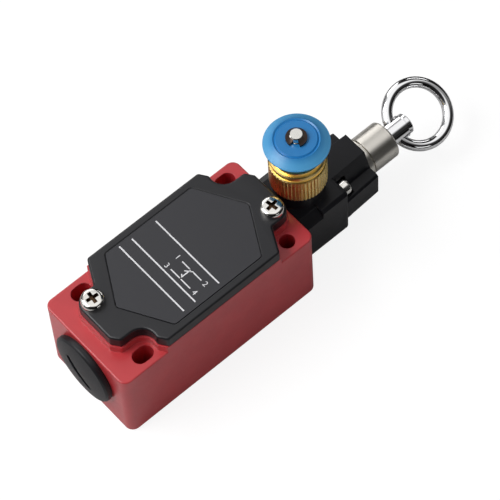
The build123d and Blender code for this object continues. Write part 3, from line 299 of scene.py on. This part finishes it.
def paper_in_mirrors(tree):
    paper = add(tree, "ShaderNodeBsdfDiffuse")
    place = add(tree, "ShaderNodeTexCoord")
    reach = add(tree, "ShaderNodeVectorMath", operation="LENGTH")
    wire(tree, place.outputs["Object"], reach.inputs[0])
    # painted light: the mirrored paper's colour falls from bright near the switch to dark
    # further out
    shade = ramp(tree, reach.outputs["Value"], PAPER_MIRROR_PAINTED_LIGHT_STOPS)
    wire(tree, shade, paper.inputs["Color"])
    return paper.outputs["BSDF"]


def table_paper():
    material = bpy.data.materials.new("table_paper")
    tree = new_tree(material)
    rays = add(tree, "ShaderNodeLightPath")
    unseen = picked(
        tree, rays.outputs["Is Glossy Ray"],
        plain_paper(tree, PAPER_BOUNCE), paper_in_mirrors(tree),
    )
    seen = picked(tree, rays.outputs["Is Camera Ray"], unseen, paper_in_view(tree))
    out = add(tree, "ShaderNodeOutputMaterial")
    wire(tree, seen, out.inputs["Surface"])
    return material


def build_table():
    shape = bmesh.new()
    bmesh.ops.create_grid(shape, x_segments=1, y_segments=1, size=TABLE_REACH)
    mesh = bpy.data.meshes.new("table")
    shape.to_mesh(mesh)
    shape.free()
    table = bpy.data.objects.new("table", mesh)
    scene.collection.objects.link(table)
    mesh.materials.append(table_paper())


build_table()
print("table reaches", TABLE_REACH, "m to each side")

# %% [markdown]
# Every finish starts from one shader with its colour, roughness and metal set on the
# shader itself. Fine grain comes from noise on the object's own coordinates, at its
# true size, so it stays on the surface from every side. The same noise can drive how
# rough the surface is, or press fine relief into it.

# %% Finish helpers
BEVEL_SAMPLES = 4


def start_finish(name, colour, roughness, metallic=0.0):
    material = bpy.data.materials.new(name)
    tree = new_tree(material)
    shader = add(tree, "ShaderNodeBsdfPrincipled")
    shader.inputs["Base Color"].default_value = (*colour, 1.0)
    shader.inputs["Roughness"].default_value = roughness
    shader.inputs["Metallic"].default_value = metallic
    out = add(tree, "ShaderNodeOutputMaterial")
    wire(tree, shader.outputs["BSDF"], out.inputs["Surface"])
    return material, tree, shader


def grain(tree, size_mm, detail=2.0, stretch=(1.0, 1.0, 1.0)):
    coordinates = add(tree, "ShaderNodeTexCoord")
    scale = add(tree, "ShaderNodeMapping")
    scale.inputs["Scale"].default_value = stretch
    wire(tree, coordinates.outputs["Object"], scale.inputs["Vector"])
    noise = add(tree, "ShaderNodeTexNoise")
    noise.inputs["Scale"].default_value = 1.0 / (size_mm * MM)
    noise.inputs["Detail"].default_value = detail
    wire(tree, scale.outputs["Vector"], noise.inputs["Vector"])
    return noise.outputs["Fac"]


def vary_roughness(tree, shader, factor, low, high):
    spread = add(tree, "ShaderNodeMapRange")
    spread.inputs["To Min"].default_value = low
    spread.inputs["To Max"].default_value = high
    wire(tree, factor, spread.inputs["Value"])
    wire(tree, spread.outputs["Result"], shader.inputs["Roughness"])


def press(tree, shader, height, depth_mm, strength, edge_mm=0.0):
    bump = add(tree, "ShaderNodeBump")
    if edge_mm:
        edge = add(tree, "ShaderNodeBevel", samples=BEVEL_SAMPLES)
        edge.inputs["Radius"].default_value = edge_mm * MM
        wire(tree, edge.outputs["Normal"], bump.inputs["Normal"])
    bump.inputs["Strength"].default_value = strength
    bump.inputs["Distance"].default_value = depth_mm * MM
    wire(tree, height, bump.inputs["Height"])
    wire(tree, bump.outputs["Normal"], shader.inputs["Normal"])


def coat(shader, weight, roughness):
    shader.inputs["Coat Weight"].default_value = weight
    shader.inputs["Coat Roughness"].default_value = roughness


def shine(shader, level):
    shader.inputs["Specular IOR Level"].default_value = level


# %% [markdown]
# The body is cast metal under a red stoved enamel. The paint follows the cast skin, so
# it has a faint orange peel and its gloss wanders a little from place to place. The
# casting's many fillets leave little room for a modelled bevel, so its last sharp edges
# are softened in the shading.

# %% Red enamel
RED_STOPS = [(0.3, (0.49, 0.026, 0.034)), (0.7, (0.55, 0.034, 0.042))]


def red_enamel():
    material, tree, shader = start_finish("red_enamel", (0.50, 0.022, 0.030), 0.36)
    wire(tree, ramp(tree, grain(tree, 9.0), RED_STOPS), shader.inputs["Base Color"])
    vary_roughness(tree, shader, grain(tree, 1.2), 0.32, 0.44)
    coat(shader, 0.40, 0.22)
    press(tree, shader, grain(tree, 0.45, 3.0), 0.03, 0.5, edge_mm=0.45)
    return material


# %% [markdown]
# Cover, panel and plug are black mouldings. A moulded surface is never pure black: it
# is a dark grey with a fine spark-eroded grain that breaks up the reflection. The inner
# contact carrier is a pale moulding of the same kind.

# %% Mouldings
COOL_TINT = 1.30
MOULD_SMOOTHER, MOULD_ROUGHER = 0.06, 0.08


def moulding(name, shade, roughness, grain_mm, depth_mm, level=0.5):
    colour = (shade, shade, shade * COOL_TINT)
    material, tree, shader = start_finish(name, colour, roughness)
    shine(shader, level)
    speckle = grain(tree, grain_mm, 3.0)
    low, high = roughness - MOULD_SMOOTHER, roughness + MOULD_ROUGHER
    vary_roughness(tree, shader, speckle, low, high)
    press(tree, shader, speckle, depth_mm, 0.5)
    return material


# %% [markdown]
# The head is painted black too, but over metal, so its skin is smoother than the
# cover's. Seals are dull black rubber.

# %% Black paint and rubber


def black_paint():
    material, tree, shader = start_finish("black_paint", (0.0095, 0.0095, 0.0120), 0.30)
    shine(shader, 0.24)
    vary_roughness(tree, shader, grain(tree, 1.6), 0.26, 0.38)
    press(tree, shader, grain(tree, 0.5, 2.0), 0.02, 0.4, edge_mm=0.35)
    return material


def rubber():
    material, tree, shader = start_finish("black_rubber", grey(0.02), 0.7)
    press(tree, shader, grain(tree, 0.3), 0.02, 0.4)
    return material


# %% [markdown]
# Plated metal is even, with a gloss that hardly wanders. Turned metal keeps the fine
# rings of the lathe. Noise that is stretched round the axis gives them: it varies
# quickly along the axis and hardly at all around it.

# %% Metals
RING_STRETCH = 0.02
RING_SMOOTHER, RING_ROUGHER = 0.08, 0.10


def plated(name, colour, roughness, wander=0.04):
    material, tree, shader = start_finish(name, colour, roughness, 1.0)
    low, high = roughness - wander, roughness + wander
    vary_roughness(tree, shader, grain(tree, 2.5), low, high)
    return material


def turned(name, colour, roughness, along):
    material, tree, shader = start_finish(name, colour, roughness, 1.0)
    stretch = [RING_STRETCH, RING_STRETCH, RING_STRETCH]
    stretch["XYZ".index(along)] = 1.0
    rings = grain(tree, 0.25, 3.0, stretch)
    low, high = roughness - RING_SMOOTHER, roughness + RING_ROUGHER
    vary_roughness(tree, shader, rings, low, high)
    press(tree, shader, rings, 0.004, 0.6)
    return material


# %% [markdown]
# The knob's dish is deep blue, and the cone outside its groove is paler and a little
# rougher. The step between them is painted light: the paler cone blue is a painted sheen
# where the rim catches the light, and the deeper dish blue holds painted shade. The distance
# from the knob's own axis tells the two apart, and a little noise keeps the change between
# them from being a perfect circle. Lengths are in mm.

# %% Blue knob
KNOB_AXIS_Y = 48.2
KNOB_GROOVE_R = 7.2
KNOB_BLEND = 2.4
KNOB_WANDER = 0.6
DISH_BLUE = (0.014, 0.205, 0.53)
CONE_BLUE_PAINTED_SHEEN = (0.078, 0.365, 0.69)


def from_knob_axis(tree):
    """0 inside the knob's groove, rising to 1 on the cone outside it."""
    place = add(tree, "ShaderNodeTexCoord")
    centred = add(tree, "ShaderNodeMapping")
    centred.inputs["Location"].default_value = (0.0, -KNOB_AXIS_Y * MM, 0.0)
    centred.inputs["Scale"].default_value = (1.0, 1.0, 0.0)
    wire(tree, place.outputs["Object"], centred.inputs["Vector"])
    reach = add(tree, "ShaderNodeVectorMath", operation="LENGTH")
    wire(tree, centred.outputs["Vector"], reach.inputs[0])
    wandering = add(tree, "ShaderNodeMath", operation="MULTIPLY_ADD")
    wire(tree, grain(tree, 5.0), wandering.inputs[0])
    wandering.inputs[1].default_value = KNOB_WANDER * MM
    wire(tree, reach.outputs["Value"], wandering.inputs[2])
    outward = add(tree, "ShaderNodeMapRange")
    outward.inputs["From Min"].default_value = KNOB_GROOVE_R * MM
    outward.inputs["From Max"].default_value = (KNOB_GROOVE_R + KNOB_BLEND) * MM
    wire(tree, wandering.outputs["Value"], outward.inputs["Value"])
    return outward.outputs["Result"]


def blue_moulding():
    material, tree, shader = start_finish("blue_moulding", DISH_BLUE, 0.36)
    outward = from_knob_axis(tree)
    # painted light: paler cone blue is a painted sheen on the rim, deeper dish blue painted
    # shade
    blue = ramp(tree, outward, [(0.0, DISH_BLUE), (1.0, CONE_BLUE_PAINTED_SHEEN)])
    wire(tree, blue, shader.inputs["Base Color"])
    vary_roughness(tree, shader, outward, 0.34, 0.46)
    shine(shader, 0.2)
    coat(shader, 0.70, 0.30)
    press(tree, shader, grain(tree, 0.4, 3.0), 0.02, 0.5)
    return material


# %% [markdown]
# One table says which part wears which finish. Small parts inside the body are hidden
# while the cover is on, but they are finished as well.

# %% The finishes and their parts
FINISHES = [
    (red_enamel(), ["housing"]),
    (moulding("cover_moulding", 0.0075, 0.36, 0.35, 0.02, 0.45), ["cover"]),
    (moulding("panel_film", 0.0150, 0.40, 0.5, 0.008, 0.55), ["name_panel"]),
    (
        moulding("plug_moulding", 0.008, 0.42, 0.4, 0.02, 0.34),
        ["conduit_plug", "contact_base"],
    ),
    (moulding("pale_moulding", 0.55, 0.45, 0.5, 0.01), ["contact_carrier"]),
    (black_paint(), ["head_housing"]),
    (
        rubber(),
        ["cover_gasket", "plug_seal", "head_gasket", "rod_wiper", "bush_seal", "lip_seal"],
    ),
    (
        plated("bright_nickel", (0.80, 0.78, 0.74), 0.16),
        ["cover_screws", "head_screws", "spring_washers", "latch_pin"],
    ),
    (
        turned("satin_nickel", (0.66, 0.63, 0.58), 0.30, "Y"),
        ["guide_sleeve", "pull_rod", "transfer_plunger",
         "terminal_screws", "terminal_clamps", "block_screws"],
    ),
    (
        plated("mirror_chrome", (0.86, 0.86, 0.87), 0.06, 0.02),
        ["eye_stem", "eye_ring"],
    ),
    (
        turned("golden_brass", (0.95, 0.70, 0.26), 0.28, "Z"),
        ["knurled_bush", "contact_bridges", "terminals_nc",
         "terminals_no", "earth_screw", "earth_clamp"],
    ),
    (blue_moulding(), ["reset_knob"]),
    (plated("dark_clip", (0.055, 0.040, 0.035), 0.35), ["e_clip"]),
    (
        plated("spring_wire", (0.45, 0.45, 0.46), 0.28),
        ["rod_spring", "latch_spring", "carrier_spring", "contact_springs", "swivel_pin"],
    ),
    (
        plated("silver_contact", (0.82, 0.81, 0.78), 0.2),
        ["bridge_tips", "fixed_tips"],
    ),
]

for material, names in FINISHES:
    for name in names:
        node = frame["nodes"][name]
        node.data.materials.clear()
        node.data.materials.append(material)
print("finished parts:", sum(len(names) for _, names in FINISHES))

# %% [markdown]
# A few parts need a changed shape in the picture. The solids are never touched: a copy
# with its doubled vertices merged stands in for the part. The copy drops the stored
# normals, and every edge steeper than a stated angle stays sharp.

# %% Merged copies
MERGE_MM = 0.002
FLAT_DEG = 0.6


def linked(name, mesh, material):
    mesh.materials.append(material)
    thing = bpy.data.objects.new(name, mesh)
    scene.collection.objects.link(thing)
    return thing


def merged_copy(name, copy_name, sharp_deg, join_flats=False):
    source = frame["nodes"][name]
    shape = bmesh.new()
    shape.from_mesh(source.data)
    bmesh.ops.remove_doubles(shape, verts=shape.verts[:], dist=MERGE_MM * MM)
    if join_flats:
        bmesh.ops.dissolve_limit(
            shape, angle_limit=math.radians(FLAT_DEG),
            verts=shape.verts[:], edges=shape.edges[:],
        )
    for face in shape.faces:
        face.smooth = True
    mesh = bpy.data.meshes.new(copy_name)
    shape.to_mesh(mesh)
    shape.free()
    if "custom_normal" in mesh.attributes:
        mesh.attributes.remove(mesh.attributes["custom_normal"])
    mesh.set_sharp_from_angle(angle=math.radians(sharp_deg))
    mesh.materials.clear()
    return linked(copy_name, mesh, source.data.materials[0])


print("vertices nearer than", MERGE_MM, "mm are merged in a copy")

# %% [markdown]
# Real mouldings and turned parts have no knife edges. A narrow bevel on the copy catches
# a line of light along each edge. Flat faces keep their own normals, so they stay flat.

# %% Rounded edges
ROUND_DEG = 30.0
ROUND_SEGMENTS = 2
ROUNDED = [
    ("cover", 0.30, "switch_body", "black_cover"),
    ("conduit_plug", 0.25, "switch_body", "black_moulding"),
    ("guide_sleeve", 0.20, "switch_body", "satin_nickel"),
    ("name_panel", 0.08, "switch_body", "panel_film"),
]


def rounded_copy(name, width_mm, body):
    piece = merged_copy(name, name + "_rounded", ROUND_DEG, join_flats=True)
    edge = piece.modifiers.new("round_edges", "BEVEL")
    edge.limit_method = "ANGLE"
    edge.angle_limit = math.radians(ROUND_DEG)
    edge.width = width_mm * MM
    edge.segments = ROUND_SEGMENTS
    edge.use_clamp_overlap = False
    edge.harden_normals = True
    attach(piece, body)
    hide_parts(name)
    return piece


for name, width_mm, body, finish_slot in ROUNDED:
    rounded = rounded_copy(name, width_mm, body)
    print(rounded.name, len(rounded.data.polygons), "faces before the bevel")

# %% [markdown]
# Two springs shorten as the switch works: the return spring round the rod and the latch
# spring under the knob's bush. A rigid coil would run into the moving collar. A merged
# copy of each coil stands for it here, and the share of its length it would keep at full
# travel is worked out from the coil's own length and the joint's travel.

# %% Spring copies and their kept length
COIL_DEG = 50.0
SHORTENING_SPRINGS = [
    ("rod_spring", "rod_pull", 1),
    ("latch_spring", "knob_lift", 2),
]


def joint_travel(name):
    joint = next(row for row in frame["joints"] if row["name"] == name)
    return joint["range_m"][1]


def shortening_spring(name, joint, along):
    low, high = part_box(name)
    coil = merged_copy(name, name + "_coil", COIL_DEG)
    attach(coil, "switch_body")
    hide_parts(name)
    keep = 1.0 - joint_travel(joint) / (high[along] - low[along])
    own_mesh(coil)
    return keep


for name, joint, along in SHORTENING_SPRINGS:
    print(name, "keeps", round(shortening_spring(name, joint, along), 3), "of its length")

# %% [markdown]
# The cover screws are pan heads with a cross recess, wide enough to take a driver. One
# head is a half section spun round the screw's axis: a small flat, a rounded shoulder,
# the seat and the shank. All lengths are in mm until the vertices are made.

# %% Screw heads
SCREW_HEAD_R = 3.95
SCREW_FLAT_R = 2.55
SCREW_SHOULDER_IN = 1.40
SCREW_SHOULDER_DOWN = 1.50
SCREW_SHOULDER_STEPS = 6
SCREW_SEAT_Z = 40.3
SCREW_TOP_Z = 42.8
SCREW_SHANK_R = 1.95
SCREW_END_Z = 30.3
SCREW_SPOTS = [(6.40, 31.60), (-6.40, -31.60)]
SPIN_STEPS = 48
SPIN_MERGE_MM = 0.001


def mesh_of(name, shape):
    mesh = bpy.data.meshes.new(name)
    shape.to_mesh(mesh)
    shape.free()
    return mesh


def spun(section, place):
    """A closed solid of revolution about a line along Z, from (radius, height) pairs."""
    shape = bmesh.new()
    points = []
    for radius, height in section:
        points.append(shape.verts.new(Vector((radius * MM, 0.0, height * MM))))
    edges = [shape.edges.new(pair) for pair in zip(points, points[1:])]
    bmesh.ops.spin(
        shape, geom=points + edges, axis=(0, 0, 1), cent=(0, 0, 0),
        steps=SPIN_STEPS, angle=math.tau, use_merge=True,
    )
    bmesh.ops.remove_doubles(shape, verts=shape.verts[:], dist=SPIN_MERGE_MM * MM)
    bmesh.ops.recalc_face_normals(shape, faces=shape.faces[:])
    bmesh.ops.translate(shape, verts=shape.verts[:], vec=Vector((*place, 0.0)) * MM)
    return shape


def screw_section():
    shoulder = []
    for step in range(SCREW_SHOULDER_STEPS + 1):
        turn = math.radians(90.0 * step / SCREW_SHOULDER_STEPS)
        radius = SCREW_FLAT_R + SCREW_SHOULDER_IN * math.sin(turn)
        height = SCREW_TOP_Z - SCREW_SHOULDER_DOWN + SCREW_SHOULDER_DOWN * math.cos(turn)
        shoulder.append((radius, height))
    return [
        (0.0, SCREW_TOP_Z), *shoulder,
        (SCREW_HEAD_R, SCREW_SEAT_Z), (SCREW_SHANK_R, SCREW_SEAT_Z),
        (SCREW_SHANK_R, SCREW_END_Z), (0.0, SCREW_END_Z),
    ]


print("a screw's section has", len(screw_section()), "points")

# %% [markdown]
# The cross is cut out by a Boolean with two tapered bars, because a real recess has
# walls that catch the light. The bars wear a dark brown that is painted shade, and their
# walls bring it into the recess. Each screw stopped at its own angle when it was driven home.

# %% Cross recesses
CROSS_ARM = 2.70
CROSS_WIDTH = 1.45
CROSS_DEPTH = 1.8
CROSS_FOOT_LENGTH = 0.62
CROSS_FOOT_WIDTH = 0.75
CROSS_TURNS = (8.0, -6.0)
LEVEL_FACE = 0.99


def cross_cutter(place, turn_deg):
    shape = bmesh.new()
    for quarter in (0.0, 90.0):
        made = bmesh.ops.create_cube(shape, size=1.0)["verts"]
        bar = (2 * CROSS_ARM, CROSS_WIDTH, 2 * CROSS_DEPTH)
        bmesh.ops.scale(shape, vec=bar, verts=made)
        for vert in made:
            if vert.co.z < 0:
                vert.co.x *= CROSS_FOOT_LENGTH
                vert.co.y *= CROSS_FOOT_WIDTH
        turn = Matrix.Rotation(math.radians(turn_deg + quarter), 3, "Z")
        bmesh.ops.rotate(shape, matrix=turn, verts=made)
    bmesh.ops.translate(shape, verts=shape.verts[:], vec=(*place, SCREW_TOP_Z))
    bmesh.ops.scale(shape, vec=(MM, MM, MM), verts=shape.verts[:])
    return shape


def evaluated_mesh(thing):
    ready = thing.evaluated_get(bpy.context.evaluated_depsgraph_get())
    return bpy.data.meshes.new_from_object(ready)


def cross_recessed(head, cutter):
    cut = head.modifiers.new("cross", "BOOLEAN")
    cut.operation = "DIFFERENCE"
    cut.solver = "EXACT"
    cut.use_self = True
    cut.material_mode = "TRANSFER"
    cut.object = cutter
    mesh = evaluated_mesh(head)
    for gone in (head, cutter):
        bpy.data.objects.remove(gone)
    return mesh


def build_cover_screws():
    bright = bpy.data.materials["bright_nickel"]
    # painted shade: this dark brown on the recess walls stands for the shade in the deep cross
    dark = plated("recess_shadow", (0.10, 0.06, 0.035), 0.45)
    both = bmesh.new()
    for place, turn_deg in zip(SCREW_SPOTS, CROSS_TURNS):
        blank = mesh_of("screw_head", spun(screw_section(), place))
        head = linked("screw_head", blank, bright)
        bars = mesh_of("screw_cutter", cross_cutter(place, turn_deg))
        cutter = linked("screw_cutter", bars, dark)
        bpy.context.view_layer.update()
        both.from_mesh(cross_recessed(head, cutter))
    for face in both.faces:
        face.smooth = abs(face.normal.z) < LEVEL_FACE
    piece = linked("cover_screws_dressed", mesh_of("cover_screws_dressed", both), bright)
    piece.data.materials.append(dark)
    piece.data.set_sharp_from_angle(angle=math.radians(ROUND_DEG))
    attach(piece, "switch_body")
    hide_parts("cover_screws")
    return piece


print("cover screws:", len(build_cover_screws().data.polygons), "faces")

# %% [markdown]
# The panel carries white screen print: dividing lines and the contact diagram of the
# switch, with a plain number at each terminal. Ink is a thin layer, so every stroke is a
# narrow flat strip with a hair of thickness, lying just on the film. A stroke is given
# by its two ends, x and y each, in mm.

# %% What is printed
INK_Z = 40.205
INK_THICKNESS = 0.03
DIVIDERS = [
    (-15.0, 1.65, 15.0, 1.65), (-15.2, -8.1, 15.0, -8.1), (-15.7, -12.85, 15.1, -12.85),
]
DIAGRAM = [
    (1.8, -1.75, 5.4, -1.75), (7.2, -1.75, 10.6, -1.75), (1.5, -6.2, 5.4, -6.2),
    (6.3, -6.2, 10.4, -6.2), (5.0, -4.9, 5.7, -5.4), (5.7, -5.4, 5.7, -2.5),
    (4.7, -3.3, 5.7, -2.5), (5.7, -2.5, 6.7, -1.7), (5.4, -1.75, 5.9, -2.2),
]
DIVIDER_WIDTH = 0.50
DIAGRAM_WIDTH = 0.40
NUMBERS = [("1", -0.6, -1.75), ("2", 12.6, -1.75), ("3", -0.6, -6.2), ("4", 12.6, -6.2)]
NUMBER_HEIGHT = 2.0
TYPE_PER_HEIGHT = 1.35
INK_STOPS = [(0.3, (0.74, 0.74, 0.77)), (0.7, (0.86, 0.86, 0.88))]
print("strokes:", len(DIVIDERS) + len(DIAGRAM), "numbers:", len(NUMBERS))

# %% [markdown]
# Strokes and numbers are gathered flat in one mesh, lifted onto the film, and given
# their thickness last. The ink varies a little in strength, as printed ink does.

# %% Print on the panel


def stroke(shape, line, width):
    start, end = Vector(line[:2]), Vector(line[2:])
    along = end - start
    made = bmesh.ops.create_grid(shape, x_segments=1, y_segments=1, size=0.5)["verts"]
    bmesh.ops.scale(shape, vec=(along.length + width, width, 1.0), verts=made)
    turn = Matrix.Rotation(math.atan2(along.y, along.x), 3, "Z")
    bmesh.ops.rotate(shape, matrix=turn, verts=made)
    bmesh.ops.translate(shape, verts=made, vec=(*((start + end) / 2), 0.0))


def number_mesh(words):
    letter = bpy.data.curves.new("number_" + words, "FONT")
    letter.body = words
    letter.size = NUMBER_HEIGHT * TYPE_PER_HEIGHT
    letter.align_x = "CENTER"
    letter.align_y = "CENTER"
    holder = bpy.data.objects.new("number_" + words, letter)
    scene.collection.objects.link(holder)
    bpy.context.view_layer.update()
    mesh = evaluated_mesh(holder)
    bpy.data.objects.remove(holder)
    return mesh


def ink():
    material, tree, shader = start_finish("white_ink", (0.80, 0.80, 0.82), 0.5)
    wire(tree, ramp(tree, grain(tree, 0.3), INK_STOPS), shader.inputs["Base Color"])
    return material


def flat_print():
    shape = bmesh.new()
    for line in DIVIDERS:
        stroke(shape, line, DIVIDER_WIDTH)
    for line in DIAGRAM:
        stroke(shape, line, DIAGRAM_WIDTH)
    for words, x, y in NUMBERS:
        before = set(shape.verts)
        shape.from_mesh(number_mesh(words))
        fresh = [vert for vert in shape.verts if vert not in before]
        bmesh.ops.translate(shape, verts=fresh, vec=(x, y, 0.0))
    return shape


def build_print():
    shape = flat_print()
    lift = (0.0, 0.0, INK_Z + INK_THICKNESS)
    bmesh.ops.translate(shape, verts=shape.verts[:], vec=lift)
    bmesh.ops.scale(shape, vec=(MM, MM, MM), verts=shape.verts[:])
    bmesh.ops.recalc_face_normals(shape, faces=shape.faces[:])
    piece = linked("panel_print", mesh_of("panel_print", shape), ink())
    layer = piece.modifiers.new("ink_layer", "SOLIDIFY")
    layer.thickness = INK_THICKNESS * MM
    layer.offset = -1.0
    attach(piece, "switch_body")
    return piece


print("print:", len(build_print().data.polygons), "faces")
